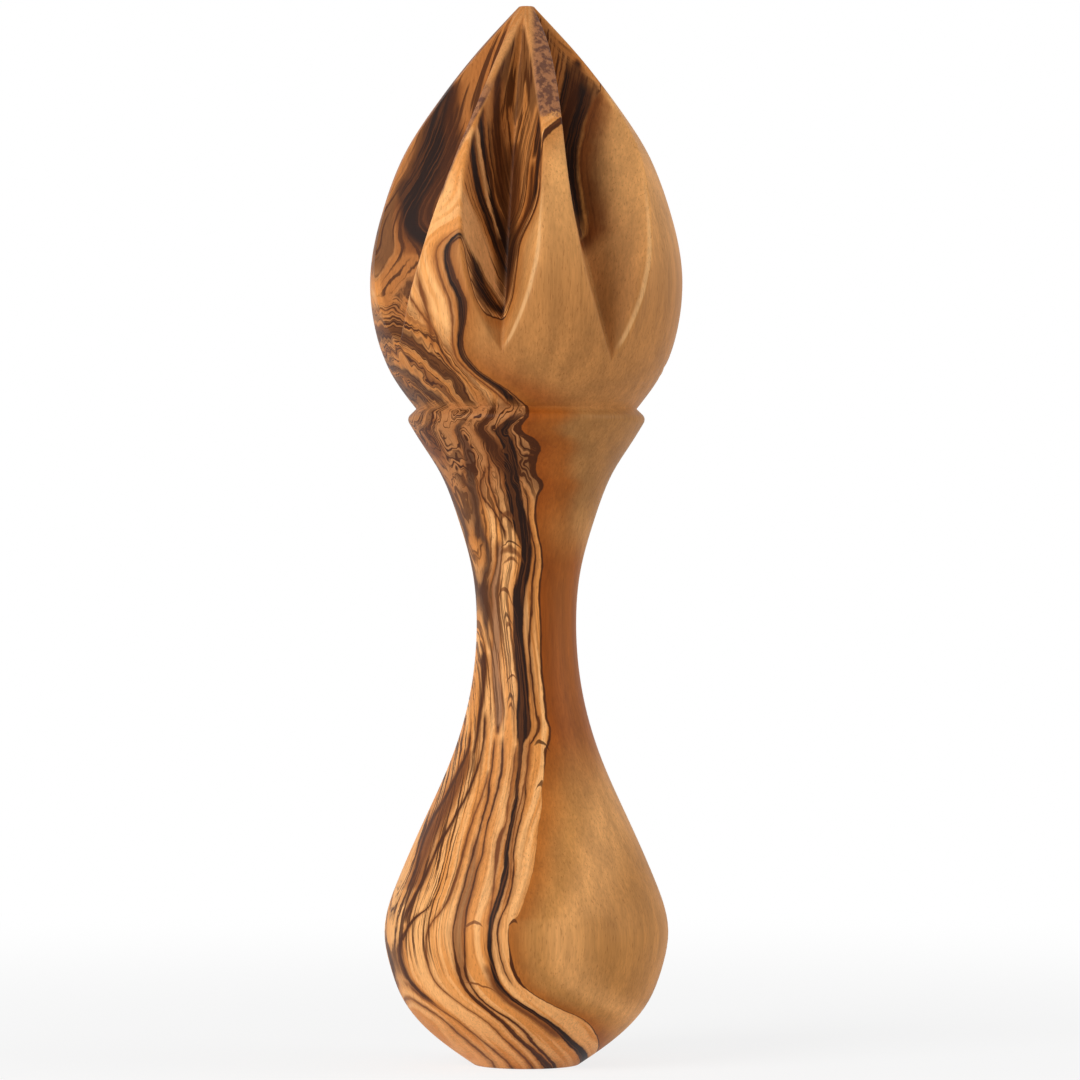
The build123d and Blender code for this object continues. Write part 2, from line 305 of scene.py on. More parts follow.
def vein(tree, layer, height, softness, track):
    """How much one vein shows: it follows the heights, places and widths of its track."""
    low, high = VEIN_SPAN
    curve = add(tree, "RGBCurve", {"Color": height})
    start, end = track[0][0], track[-1][0]
    lines = (
        [(up, (place - low) / (high - low)) for up, place, _ in track],
        [(up, width / MOST_WIDTH) for up, _, width in track],
        [(start - VEIN_END, 0.0), (start, 1.0), (end, 1.0), (end + VEIN_END, 0.0)],
    )
    for line, points in zip(curve.mapping.curves, lines):
        for _ in points[2:]:
            line.points.new(0, 0)
        for point, (up, value) in zip(line.points, points):
            point.location = (up / HEIGHT_MM, value)
            point.handle_type = "AUTO_CLAMPED"
    curve.mapping.extend = "HORIZONTAL"
    curve.mapping.update()
    place, width, strength = add(tree, "SeparateColor", curve).outputs
    middle = add(tree, "Math", place, high - low, low, operation="MULTIPLY_ADD")
    away = add(tree, "Math", add(tree, "Math", layer, middle, operation="SUBTRACT"), operation="ABSOLUTE")
    inside = add(
        tree, "Math", add(tree, "Math", width, MOST_WIDTH, operation="MULTIPLY"), away, operation="SUBTRACT")
    core = add(
        tree, "Math", add(tree, "MapRange", inside, -softness, softness, **EASED), strength, operation="MULTIPLY")
    stain = add(
        tree, "Math", add(tree, "MapRange", inside, -softness - STAIN_REACH, 0.0, 0.0, 0.5, **EASED), strength,
        operation="MULTIPLY")
    return core, stain


def veined(tree, colour, tint, shows, shown):
    """The colour with one vein over it: a dark core, and a rusty stain that fades out around it."""
    core, stain = shows
    stained = add(
        tree, "Mix", add(tree, "Math", stain, shown, operation="MULTIPLY"), colour, linear(RUST), data_type="RGBA",
        blend_type="DARKEN")
    return add(
        tree, "Mix", add(tree, "Math", core, shown, operation="MULTIPLY"), stained, linear(tint), data_type="RGBA")


def olive_wood():
    """Olive wood, turned, carved, sanded and oiled: dark veins on honey-coloured heartwood, pale brown
    sapwood on one side, fine pores along the grain, and a satin surface."""
    material = bpy.data.materials.new("olive_wood_turned_sanded_oiled")
    material.use_nodes = True
    tree = material.node_tree
    tree.nodes.clear()
    place = add(
        tree, "VectorMath", {0: add(tree, "TexCoord").outputs["Object"], "Scale": 1 / MM}, operation="SCALE")
    x, y, z = add(tree, "SeparateXYZ", place).outputs
    height = add(tree, "Math", z, HEIGHT_MM, operation="DIVIDE")

    # Growth layers: the distance from the pith, less the heartwood's radius
    pith = add(
        tree, "CombineXYZ",
        {
            "X": by_height(tree, height, PITH_X, -50, 0),
            "Y": add(tree, "Math", by_height(tree, height, PITH_FORWARD, -20, 30), -1.0, operation="MULTIPLY"),
            "Z": z})
    ring = add(tree, "VectorMath", place, pith, operation="DISTANCE").outputs["Value"]
    even_layer = add(tree, "Math", ring, by_height(tree, height, HEARTWOOD_RADIUS, 0, 50), operation="SUBTRACT")

    # The layers wander: slow bends, wider at the back, then ripples and ragged edges
    back = add(tree, "MapRange", y, -6.0, 8.0, 0.5, 3.0, **EASED)
    bends = add(
        tree, "Math", add(tree, "Math", blotches(tree, place, (9, 9, 22), 1.0), 0.5, operation="SUBTRACT"), back,
        operation="MULTIPLY")
    ripples = add(tree, "Math", blotches(tree, place, (1.6, 1.6, 4.0)), 0.5, operation="SUBTRACT")
    ragged = add(tree, "Math", blotches(tree, place, (0.5, 0.5, 1.6)), 0.5, operation="SUBTRACT")
    layer = add(
        tree, "Math", even_layer,
        add(
            tree, "Math", bends,
            add(
                tree, "Math", ripples, 0.4, add(tree, "Math", ragged, 0.18, operation="MULTIPLY"),
                operation="MULTIPLY_ADD"), operation="ADD"), operation="ADD")

    # How deep the flutes have cut below the turned head, and the places of its burls
    from_axis = add(
        tree, "VectorMath", place, add(tree, "CombineXYZ", {"Z": z}), operation="DISTANCE").outputs["Value"]
    turned_radius = [(0, 25), (87, 25)] + [(up, far) for far, up in outline_points(HEAD_OUTLINE, 2.5)]
    depth = add(tree, "Math", by_height(tree, height, turned_radius, 0, 30), from_axis, operation="SUBTRACT")
    head = add(tree, "MapRange", z, 89.0, 91.0, **EASED)
    carved = add(
        tree, "Math", add(tree, "MapRange", depth, 0.15, 0.9, **EASED),
        add(tree, "MapRange", z, 99.0, 101.0, **EASED), operation="MULTIPLY")
    turned = add(tree, "Math", add(tree, "Math", 1.0, carved, operation="SUBTRACT"), head, operation="MULTIPLY")
    outside = add(
        tree, "Math", layer,
        add(tree, "Math", carved, 0.8, by_height(tree, height, SAP_EDGE, -5, 8), operation="MULTIPLY_ADD"),
        operation="SUBTRACT")
    right_flute = add(
        tree, "Math", carved,
        add(
            tree, "MapRange", add(tree, "Math", y, RIGHT_FLUTE_LEFT, x, operation="MULTIPLY_ADD"), -0.2, 0.2,
            **EASED), operation="MULTIPLY")
    right_flute = add(
        tree, "Math", right_flute,
        add(
            tree, "MapRange", add(tree, "Math", y, RIGHT_FLUTE_END, x, operation="MULTIPLY_ADD"), 4.0, 0.0,
            **EASED), operation="MULTIPLY")
    right_layer = add(
        tree, "Math", ragged, 0.3,
        add(tree, "Math", x, by_height(tree, height, RIGHT_FLUTE_X, 0, 12), operation="SUBTRACT"),
        operation="MULTIPLY_ADD")
    right_edge = add(
        tree, "Math", add(tree, "Math", ripples, 1.5, right_layer, operation="MULTIPLY_ADD"),
        add(tree, "MapRange", z, 114.0, 109.0, -1.1, 4.0, **EASED), operation="ADD")
    outside = add(tree, "Mix", right_flute, outside, right_edge)
    inside = add(
        tree, "MapRange", outside, add(tree, "Mix", right_flute, 0.08, 0.6),
        add(tree, "Mix", right_flute, -0.08, -0.3), **EASED)
    leftward = add(tree, "Math", add(tree, "Math", x, 18.0, operation="ADD"), 0.0, operation="MAXIMUM")
    tilted = add(
        tree, "Math", add(tree, "Math", z, add(tree, "Math", leftward, 0.5, operation="MULTIPLY"), operation="ADD"),
        add(tree, "Math", add(tree, "Math", leftward, leftward, operation="MULTIPLY"), 0.04, operation="MULTIPLY"),
        operation="ADD")
    low_head = add(
        tree, "Math",
        add(tree, "Math", head, add(tree, "MapRange", tilted, 107.0, 101.5, **EASED), operation="MULTIPLY"),
        add(tree, "MapRange", outside, -0.4, -2.0, **EASED), operation="MULTIPLY")
    collar = add(
        tree, "Math",
        add(
            tree, "Math", add(tree, "MapRange", z, 73.0, 82.0, **EASED),
            add(tree, "MapRange", z, 92.0, 89.0, **EASED), operation="MULTIPLY"),
        add(tree, "MapRange", outside, 0.5, -0.5, **EASED), operation="MULTIPLY")

    # Burls swirl the layers at the collar and low on the head, where they lean over to the left
    swirl = add(tree, "Math", blotches(tree, place, (3.0, 3.0, 7.0), 2.0, 0.6), 0.5, operation="SUBTRACT")
    burl = add(tree, "Math", collar, low_head, operation="MAXIMUM")
    leaning = add(
        tree, "Math",
        add(
            tree, "Math", add(tree, "MapRange", layer, -4.0, -9.0, 0.1, 0.5, **EASED), collar,
            operation="MULTIPLY"), add(tree, "Math", z, 74.0, operation="SUBTRACT"), operation="MULTIPLY")
    swirled = add(
        tree, "Math",
        add(
            tree, "Math", add(tree, "Math", swirl, burl, operation="MULTIPLY"), 4.0, layer,
            operation="MULTIPLY_ADD"), leaning, operation="ADD")
    # Streaks follow the layers, but on the front flute's left wall they run down to its foot, and near the tip
    # they run along the flutes
    right_of_ridge = add(
        tree, "MapRange", add(tree, "Math", y, LEFT_RIDGE, x, operation="MULTIPLY_ADD"), -0.15, 0.15, **EASED)
    left_face = add(
        tree, "Math",
        add(tree, "MapRange", add(tree, "Math", x, -0.78, y, operation="MULTIPLY_ADD"), -1.0, 1.0, **EASED),
        add(
            tree, "Math", add(tree, "MapRange", z, 104.0, 110.0, **EASED),
            add(tree, "MapRange", x, 0.0, -1.0, **EASED), operation="MULTIPLY"), operation="MULTIPLY")
    streaky = add(tree, "Math", carved, left_face, operation="MAXIMUM")
    left_flute = add(
        tree, "Math", streaky, add(tree, "Math", 1.0, right_of_ridge, operation="SUBTRACT"), operation="MULTIPLY")
    left_wall = add(
        tree, "Math", add(tree, "Math", carved, right_of_ridge, operation="MULTIPLY"),
        add(tree, "MapRange", add(tree, "Math", y, FRONT_FLUTE, x, operation="MULTIPLY_ADD"), 0.15, -0.15, **EASED),
        operation="MULTIPLY")
    right_wall = add(
        tree, "Math",
        add(
            tree, "Math", carved,
            add(
                tree, "Math", add(tree, "Math", left_wall, right_flute, operation="ADD"), left_flute,
                operation="ADD"), operation="SUBTRACT"), 0.0, operation="MAXIMUM")
    wall_layer = add(
        tree, "Math", ragged, 0.3,
        add(tree, "Math", x, by_height(tree, height, WALL_SLANT, -10, 10), operation="ADD"),
        operation="MULTIPLY_ADD")
    tilted_layer = add(tree, "Math", swirl, 4.0, tilted, operation="MULTIPLY_ADD")
    round_tip = add(
        tree, "Math", add(tree, "Math", x, add(tree, "Math", y, -1.0, operation="MULTIPLY"), operation="ARCTAN2"),
        5.0, operation="MULTIPLY")
    kinds = [
        (swirled, 1.0), (tilted_layer, low_head), (wall_layer, left_wall),
        (round_tip, add(tree, "MapRange", z, 126.0, 132.0, **EASED)), (right_layer, right_flute)]
    lines, bands = 0.0, 0.0
    for across, shown in kinds:
        streak_place = add(
            tree, "CombineXYZ", across, add(tree, "Math", y, 0.2, operation="MULTIPLY"),
            add(tree, "Math", z, 0.7, add(tree, "Math", x, 0.3, operation="MULTIPLY"), operation="MULTIPLY_ADD"))
        lines = add(tree, "Mix", shown, lines, blotches(tree, streak_place, (0.3, 1.2, 12.0), 2.0, 0.6))
        bands = add(tree, "Mix", shown, bands, blotches(tree, streak_place, (1.1, 2.0, 18.0), 2.0, 0.5))
    fibrous = add(tree, "Math", lines, 0.5, operation="SUBTRACT")
    veiny = add(tree, "Math", fibrous, 0.35, layer, operation="MULTIPLY_ADD")

    # Heartwood between the veins, and the sapwood outside it
    honey = add(
        tree, "Mix", add(tree, "MapRange", bands, 0.4, 0.6, **EASED), linear(HONEY_DEEP), linear(HONEY_PALE),
        data_type="RGBA")
    brown = add(
        tree, "Math",
        add(
            tree, "Math", streaky, add(tree, "MapRange", layer, 0.6, -0.6, 0.0, 0.75, **EASED),
            operation="MULTIPLY"), add(tree, "Math", burl, 0.6, operation="MULTIPLY"), operation="MAXIMUM")
    brown = add(
        tree, "Math", brown,
        add(tree, "Math", head, add(tree, "MapRange", z, 124.0, 136.0, 0.0, 0.55, **EASED), operation="MULTIPLY"),
        operation="MAXIMUM")
    heartwood = add(tree, "Mix", brown, honey, linear(TAWNY), data_type="RGBA")
    heartwood = add(
        tree, "Mix", add(tree, "Math", collar, 0.6, operation="MULTIPLY"), heartwood, linear(COLLAR_TAN),
        data_type="RGBA")
    banded = add(
        tree, "Math", add(tree, "Math", burl, 0.6, operation="MULTIPLY"),
        add(tree, "Math", streaky, 0.7, operation="MULTIPLY"), operation="MAXIMUM")
    heartwood = add(
        tree, "Mix",
        add(tree, "Math", add(tree, "MapRange", bands, 0.49, 0.57, **EASED), banded, operation="MULTIPLY"),
        heartwood, linear(UMBER), data_type="RGBA")
    narrow = add(
        tree, "Math", add(tree, "MapRange", z, 34.0, 48.0, **EASED), add(tree, "MapRange", z, 76.0, 68.0, **EASED),
        operation="MULTIPLY")
    flared = add(
        tree, "Math", add(tree, "MapRange", z, 68.0, 78.0, **EASED),
        add(tree, "Math", 1.0, head, operation="SUBTRACT"), operation="MULTIPLY")
    near_edge, further = (
        add(tree, "MapRange", outside, 0.0, 4.0, **EASED), add(tree, "MapRange", outside, 3.5, 7.0, **EASED))
    low_sap = add(
        tree, "Mix", further, add(tree, "Mix", near_edge, linear(SAP_BROWN), linear(SAP_TAN), data_type="RGBA"),
        linear(SAP_PALE), data_type="RGBA")
    low_sap = add(
        tree, "Mix", add(tree, "MapRange", outside, 7.5, 13.0, **EASED), low_sap, linear(SAP_TAN), data_type="RGBA")
    waist_sap = add(tree, "Mix", near_edge, linear(SAP_RED), linear(SAP_RUST), data_type="RGBA")
    waist_sap = add(
        tree, "Mix", add(tree, "MapRange", outside, 5.0, 10.0, **EASED), waist_sap, linear(SAP_TAN),
        data_type="RGBA")
    flared_sap = add(tree, "Mix", further, waist_sap, linear(SAP_FLARED), data_type="RGBA")
    head_sap = add(
        tree, "Mix", add(tree, "MapRange", z, 102.0, 122.0, **EASED), linear(SAP_HEAD), linear(SAP_PALE),
        data_type="RGBA")
    head_sap = add(
        tree, "Mix",
        add(
            tree, "Math", add(tree, "MapRange", z, 101.0, 91.0, **EASED),
            add(tree, "MapRange", outside, 8.0, 2.0, **EASED), operation="MULTIPLY"), head_sap,
        linear(SAP_LOW_HEAD), data_type="RGBA")
    head_sap = add(
        tree, "Mix", add(tree, "MapRange", outside, 2.5, 0.3, 0.0, 0.6, **EASED), head_sap, linear(SAP_BROWN),
        data_type="RGBA")
    head_sap = add(
        tree, "Mix",
        add(tree, "Math", right_flute, add(tree, "MapRange", outside, 5.5, 0.5, **EASED), operation="MULTIPLY"),
        head_sap, linear(SAP_FLUTE), data_type="RGBA")
    sapwood = add(
        tree, "Mix", head,
        add(
            tree, "Mix", flared, add(tree, "Mix", narrow, low_sap, waist_sap, data_type="RGBA"), flared_sap,
            data_type="RGBA"), head_sap, data_type="RGBA")
    clouds = add(tree, "MapRange", blotches(tree, place, (2.2, 2.2, 45.0)), 0.3, 0.7, 0.86, 1.1, **EASED)
    sapwood = add(tree, "Mix", 1.0, sapwood, clouds, data_type="RGBA", blend_type="MULTIPLY")
    colour = add(tree, "Mix", inside, sapwood, heartwood, data_type="RGBA")

    # Painted highlight: on the lower head, the arrises right of the front flute and of the right flute, which face
    # the key light, are painted paler
    arris = add(
        tree, "Math", add(tree, "MapRange", depth, 0.1, 0.22, **EASED),
        add(tree, "MapRange", depth, 0.7, 0.35, **EASED), operation="MULTIPLY")
    front_right = add(
        tree, "Math",
        add(tree, "MapRange", add(tree, "Math", y, FRONT_FLUTE, x, operation="MULTIPLY_ADD"), -0.2, 0.2, **EASED),
        add(tree, "MapRange", add(tree, "Math", y, FRONT_RIDGE, x, operation="MULTIPLY_ADD"), 0.2, -0.2, **EASED),
        operation="MULTIPLY")
    arris = add(
        tree, "Math", arris,
        add(
            tree, "Math", front_right,
            add(
                tree, "MapRange", add(tree, "Math", y, RIGHT_FLUTE, x, operation="MULTIPLY_ADD"), -0.2, 0.2,
                **EASED), operation="MAXIMUM"), operation="MULTIPLY")
    arris = add(
        tree, "Math", arris,
        add(
            tree, "Math", add(tree, "MapRange", z, 97.0, 99.0, **EASED),
            add(tree, "MapRange", z, 124.0, 112.0, **EASED), operation="MULTIPLY"), operation="MULTIPLY")
    colour = add(
        tree, "Mix", add(tree, "Math", arris, 0.45, operation="MULTIPLY"), colour, linear(PAINTED_ARRIS_HIGHLIGHT),
        data_type="RGBA")

    # Ridge tops cut across the grain are mottled
    mottle = blotches(tree, place, (0.9, 0.9, 1.1), 3.0, 0.6)
    ridge = add(
        tree, "Math",
        add(
            tree, "Math", turned,
            add(
                tree, "MapRange", add(tree, "Math", mottle, 3.0, z, operation="MULTIPLY_ADD"), 130.3, 130.9,
                **EASED), operation="MULTIPLY"), add(tree, "MapRange", x, 0.4, 1.4, **EASED), operation="MULTIPLY")
    ridge = add(
        tree, "Math", ridge, add(tree, "MapRange", add(tree, "Math", x, y, operation="ADD"), 0.5, -0.5, **EASED),
        operation="MULTIPLY")
    off_strip = add(
        tree, "Math", add(tree, "Math", x, by_height(tree, height, STRIP_X, -20, 0), operation="SUBTRACT"),
        operation="ABSOLUTE")
    strip = add(
        tree, "Math", add(tree, "MapRange", off_strip, 0.95, 0.55, **EASED),
        add(
            tree, "Math", add(tree, "MapRange", depth, 4.0, 3.0, **EASED),
            add(tree, "MapRange", y, 0.0, -1.0, **EASED), operation="MULTIPLY"), operation="MULTIPLY")
    strip = add(
        tree, "Math", strip,
        add(
            tree, "Math", add(tree, "MapRange", z, 117.0, 119.0, **EASED),
            add(tree, "MapRange", z, 135.0, 132.0, **EASED), operation="MULTIPLY"), operation="MULTIPLY")
    ridge = add(tree, "Math", ridge, strip, operation="MAXIMUM")
    colour = add(
        tree, "Mix", ridge, colour,
        add(
            tree, "Mix", add(tree, "MapRange", mottle, 0.42, 0.6, **EASED), linear(MAUVE), linear(MAUVE_PALE),
            data_type="RGBA"), data_type="RGBA")

    for tint, softness, track in VEINS:
        colour = veined(tree, colour, tint, vein(tree, veiny, height, softness, track), 1.0)
    for band, width, tint in TURNED_OVER:
        away = add(tree, "Math", add(tree, "Math", tilted_layer, band, operation="SUBTRACT"), operation="ABSOLUTE")
        colour = add(
            tree, "Mix",
            add(
                tree, "Math", add(tree, "MapRange", away, width + 0.3, width - 0.3, **EASED),
                add(tree, "Math", low_head, 0.85, operation="MULTIPLY"), operation="MULTIPLY"), colour,
            linear(tint), data_type="RGBA")
    for tint, softness, track in TURNED_VEINS:
        colour = veined(tree, colour, tint, vein(tree, veiny, height, softness, track), turned)
    for tint, softness, track in LEFT_FLUTE_VEINS:
        colour = veined(tree, colour, tint, vein(tree, veiny, height, softness, track), left_flute)
    for tint, softness, track in LEFT_WALL_VEINS:
        colour = veined(
            tree, colour, tint,
            vein(
                tree, add(tree, "Math", fibrous, 0.5, wall_layer, operation="MULTIPLY_ADD"), height, softness,
                track), left_wall)
    colour = veined(tree, colour, INK, vein(tree, veiny, height, 0.25, WALL_EDGE_TRACK), left_wall)
    for tint, softness, track in RIGHT_WALL_VEINS:
        colour = veined(tree, colour, tint, vein(tree, veiny, height, softness, track), right_wall)
    streaked = add(tree, "Math", right_flute, add(tree, "MapRange", z, 110.5, 117.0, **EASED), operation="MULTIPLY")
    for middle, width, tint in RIGHT_FLUTE_STREAKS:
        away = add(
            tree, "Math",
            add(
                tree, "Math", add(tree, "Math", fibrous, 0.6, right_layer, operation="MULTIPLY_ADD"), middle,
                operation="SUBTRACT"), operation="ABSOLUTE")
        colour = add(
            tree, "Mix",
            add(
                tree, "Math", add(tree, "MapRange", away, width + 0.3, width - 0.3, **EASED), streaked,
                operation="MULTIPLY"), colour, linear(tint), data_type="RGBA")
    rim = add(
        tree, "Math", by_height(tree, height, RIM_WIDTH, 0, 1), add(tree, "Math", outside, operation="ABSOLUTE"),
        operation="SUBTRACT")
    edge = add(
        tree, "Math", add(tree, "MapRange", rim, -0.08, 0.08, **EASED),
        add(tree, "Math", 1.0, right_flute, operation="SUBTRACT"), operation="MULTIPLY")
    colour = add(tree, "Mix", edge, colour, linear(UMBER), data_type="RGBA")
    for tint, softness, up, middle, length, thick, lean, bow in ARCHES:
        along = add(
            tree, "Math", add(tree, "Math", layer, middle, operation="SUBTRACT"), length, operation="DIVIDE")
        curved = add(
            tree, "Math", along, add(tree, "Math", along, bow, lean, operation="MULTIPLY_ADD"),
            add(tree, "Math", z, up, operation="SUBTRACT"), operation="MULTIPLY_ADD")
        across = add(
            tree, "Math", add(tree, "Math", swirl, 2.5, curved, operation="MULTIPLY_ADD"), thick,
            operation="DIVIDE")
        far = add(
            tree, "Math", along, along, add(tree, "Math", across, across, operation="MULTIPLY"),
            operation="MULTIPLY_ADD")
        colour = add(
            tree, "Mix", add(tree, "MapRange", far, 1 + softness, 1 - softness, 0.0, 0.85, **EASED), colour,
            linear(tint), data_type="RGBA")
    # Darker patches deep in the flutes, of which the two at the front flute's root are painted shade
    for tint, strength, centre, size in DARK_PATCHES_AND_ROOT_SHADE:
        off = add(tree, "VectorMath", place, centre, operation="SUBTRACT")
        far = add(
            tree, "VectorMath", add(tree, "VectorMath", off, size, operation="DIVIDE"),
            operation="LENGTH").outputs["Value"]
        colour = add(
            tree, "Mix",
            add(
                tree, "MapRange", add(tree, "Math", fibrous, 1.5, far, operation="MULTIPLY_ADD"), 1.3, 0.6, 0.0,
                strength, **EASED), colour, linear(tint), data_type="RGBA")

    # Thin growth lines that come and go along the veins, dark on the honey and paler inside the dark veins
    waisted = add(
        tree, "Math",
        add(
            tree, "Math", add(tree, "MapRange", z, 42.0, 50.0, **EASED),
            add(tree, "Math", 1.0, head, operation="SUBTRACT"), operation="MULTIPLY"),
        add(tree, "MapRange", layer, 1.0, -2.0, 0.3, 0.75, **EASED), operation="MULTIPLY")
    bulbed = add(
        tree, "Math", add(tree, "MapRange", z, 12.0, 18.0, **EASED),
        add(
            tree, "Math", add(tree, "Math", 1.0, head, operation="SUBTRACT"),
            add(tree, "MapRange", layer, -5.0, -9.0, 0.22, 0.95, **EASED), operation="MULTIPLY"),
        operation="MULTIPLY")
    busy = add(
        tree, "Math",
        add(tree, "Math", burl, add(tree, "Math", streaky, 0.9, operation="MULTIPLY"), operation="MAXIMUM"),
        add(tree, "Math", waisted, bulbed, operation="MAXIMUM"), operation="MAXIMUM")
    lined = add(
        tree, "Math", inside,
        add(
            tree, "Math", right_flute, add(tree, "MapRange", outside, 3.5, 0.0, 0.0, 0.5, **EASED),
            operation="MULTIPLY"), operation="MAXIMUM")
    strength = add(
        tree, "Math",
        add(tree, "Math", add(tree, "MapRange", lines, 0.5, 0.6, **EASED), busy, operation="MULTIPLY"), lined,
        operation="MULTIPLY")
    colour = add(tree, "Mix", strength, colour, linear(UMBER), data_type="RGBA", blend_type="DARKEN")
    colour = add(
        tree, "Mix",
        add(tree, "Math", add(tree, "MapRange", lines, 0.5, 0.38, 0.0, 0.4, **EASED), inside, operation="MULTIPLY"),
        colour, linear(WALNUT), data_type="RGBA", blend_type="LIGHTEN")

    for tint, softness, track in PALE_STREAKS:
        shown = add(
            tree, "Math",
            vein(
                tree, add(tree, "Math", fibrous, 1.2, wall_layer, operation="MULTIPLY_ADD"), height, softness,
                track)[0], left_wall, operation="MULTIPLY")
        colour = add(
            tree, "Mix", add(tree, "Math", shown, 0.88, operation="MULTIPLY"), colour, linear(tint),
            data_type="RGBA")

    # Fibres and pores run along the grain
    fibres = blotches(tree, place, (0.3, 0.3, 6.0), 3.0)
    tone = add(tree, "MapRange", {"Value": fibres, "From Min": 0.3, "From Max": 0.7, "To Min": 0.86, "To Max": 1.1})
    grained = add(tree, "Mix", 1.0, colour, tone, data_type="RGBA", blend_type="MULTIPLY")
    pores = blotches(tree, place, (0.16, 0.16, 1.6), 1.0)
    grained = add(
        tree, "Mix", add(tree, "MapRange", pores, 0.6, 0.72, 0.0, 0.35, **EASED), grained, linear(WALNUT),
        data_type="RGBA", blend_type="DARKEN")
    relief = add(tree, "Bump", {"Height": fibres, "Strength": 0.25, "Distance": 0.03 * MM})
    surface = add(
        tree, "BsdfPrincipled",
        {"Base Color": grained, "Roughness": 0.5, "IOR": 1.45, "Specular IOR Level": 0.14, "Normal": relief})
    add(tree, "OutputMaterial", {"Surface": surface})
    return material


# The turned outline, as (radius, height) in mm, up to the rim and from the groove to the tip
HANDLE_OUTLINE = [
    (7.15, 0), (11.8, 3.31), (16.83, 8.83), (18.59, 13.25), (19.45, 18.4), (17.63, 25.22), (14.09, 33.31),
    (10.31, 41.83), (7.9, 49.92), (6.83, 61), (7.41, 67.6), (9.35, 74.75), (11.98, 81.35), (14.43, 85.2),
    (16.45, 88.5),
]
HEAD_OUTLINE = [
    (15.1, 89.8), (18.64, 94.85), (20.88, 101.46), (21.43, 107.2), (19.43, 117.78), (16.77, 124.59),
    (12.71, 131.01), (7.5, 137.82), (1.0, 145),
]
FOOT_ROUNDING, RIM_ROUNDING, TIP_ROUNDING, GROOVE_ROUNDING = 0.5, 0.9, 0.4, 0.1
HANDLE_STEP, HEAD_STEP = 1.1, 0.45

# The carved flutes at four heights: half of the V's angle and the bearing of its bottom, in degrees from
# the front towards +X, and the bottom's distance from the axis
FLUTE_HEIGHTS = (146.0, 127.99, 107.2, 93.0)
FLUTES = [
    (44.0, (-48.0, -53.0, -59.5, -58.0), (0.96, 8.25, 15.32, 23.79)),
    (40.5, (-8.0, -10.0, -10.0, -9.0), (1.18, 8.57, 15.58, 21.32)),
    (39.0, (66.0, 44.5, 36.0, 37.0), (0.64, 5.57, 14.62, 20.06)),
    (41.0, (120.0, 115.0, 113.0, 114.0), (1.18, 8.46, 15.64, 21.54)),
    (40.0, (165.0, 162.0, 160.0, 161.0), (0.96, 8.14, 15.43, 21.11)),
    (41.0, (210.0, 208.0, 206.0, 207.0), (1.18, 8.57, 15.75, 21.64)),
    (42.0, (255.0, 252.0, 251.0, 252.0), (0.96, 8.36, 15.54, 22.07)),
]
ROOT_ROUNDING = 0.4
# Arrises are sanded to this radius, but each flute's right one is rubbed down further on the lower head
CRISP_ARRIS, RUBBED_ARRIS = 0.4, 1.6
RUBBED_FROM, RUBBED_BELOW = 117.0, 109.0
# Columns of the mesh on each side of a flute: root, wall, arris, and the turned face to the next flute
COLUMNS = (3, 5, 5, 3)


def outline_points(stations, step):
    """The smooth outline through the stations, as a wood turner's curve: a natural cubic spline by chord length."""
    points = np.array(stations, float)
    chord = np.concatenate([[0], np.cumsum(np.hypot(*np.diff(points, axis=0).T))])
    gap = np.diff(chord)
    count = len(points)
    system = np.eye(count)
    bend = np.zeros((count, 2))
    for i in range(1, count - 1):
        system[i, i - 1:i + 2] = gap[i - 1], 2 * (gap[i - 1] + gap[i]), gap[i]
        bend[i] = 6 * ((points[i + 1] - points[i]) / gap[i] - (points[i] - points[i - 1]) / gap[i - 1])
    bend = np.linalg.solve(system, bend)
    line = []
    for place in np.linspace(0, chord[-1], round(chord[-1] / step) + 1):
        i = min(np.searchsorted(chord, place, side="right") - 1, count - 2)
        left, right = (chord[i + 1] - place) / gap[i], (place - chord[i]) / gap[i]
        line.append(left * points[i] + right * points[i + 1]
                    + ((left ** 3 - left) * bend[i] + (right ** 3 - right) * bend[i + 1]) * gap[i] ** 2 / 6)
    return line


def rounded(before, corner, after, radius, steps=5):
    """Points of the arc that rounds a corner of the outline."""
    corner = Vector(corner)
    back, on = (Vector(before) - corner).normalized(), (Vector(after) - corner).normalized()
    half = back.angle(on) / 2
    middle = corner + (back + on).normalized() * radius / sin(half)
    start, end = corner + back * radius / tan(half) - middle, corner + on * radius / tan(half) - middle
    turn = start.angle_signed(end)
    return [middle + Matrix.Rotation(-turn * i / steps, 2) @ start for i in range(steps + 1)]


def turned_outline():
    """The whole outline from the foot's centre to the tip's centre, with its four corners rounded."""
    handle = outline_points(HANDLE_OUTLINE, HANDLE_STEP)
    head = outline_points(HEAD_OUTLINE, HEAD_STEP)
    foot, rim, groove, tip = handle[0], handle[-1], head[0], head[-1]
    points = [(0, 0), (foot[0] * 0.4, 0)]
    points += rounded((0, 0), foot, handle[1], FOOT_ROUNDING)
    points += handle[1:-1]
    points += rounded(handle[-2], rim, groove, RIM_ROUNDING)
    points += rounded(rim, groove, head[1], GROOVE_ROUNDING, 2)
    points += head[1:-1]
    points += rounded(head[-2], tip, (0, tip[1]), TIP_ROUNDING)
    points += [(0, tip[1])]
    # Points that a rounding has overtaken go, so that the outline never turns back
    kept = [points[0]]
    for point in points[1:]:
        if (Vector(point) - Vector(kept[-1])).length > 0.05 and point[1] >= kept[-1][1] - 1e-6:
            kept.append(point)
    return kept


def flute_paths():
    """For each flute, half of its V and the cubic that its bottom and its direction follow up the head."""
    paths = []
    for half, bearings, distances in FLUTES:
        ways = [(sin(radians(bearing)), -cos(radians(bearing))) for bearing in bearings]
        places = [(far * x, far * y, x, y) for far, (x, y) in zip(distances, ways)]
        paths.append((radians(half), np.polyfit(np.array(FLUTE_HEIGHTS) - FLUTE_HEIGHTS[2], places, 3)))
    return paths


def smooth_step(value):
    value = min(max(value, 0.0), 1.0)
    return value * value * (3 - 2 * value)


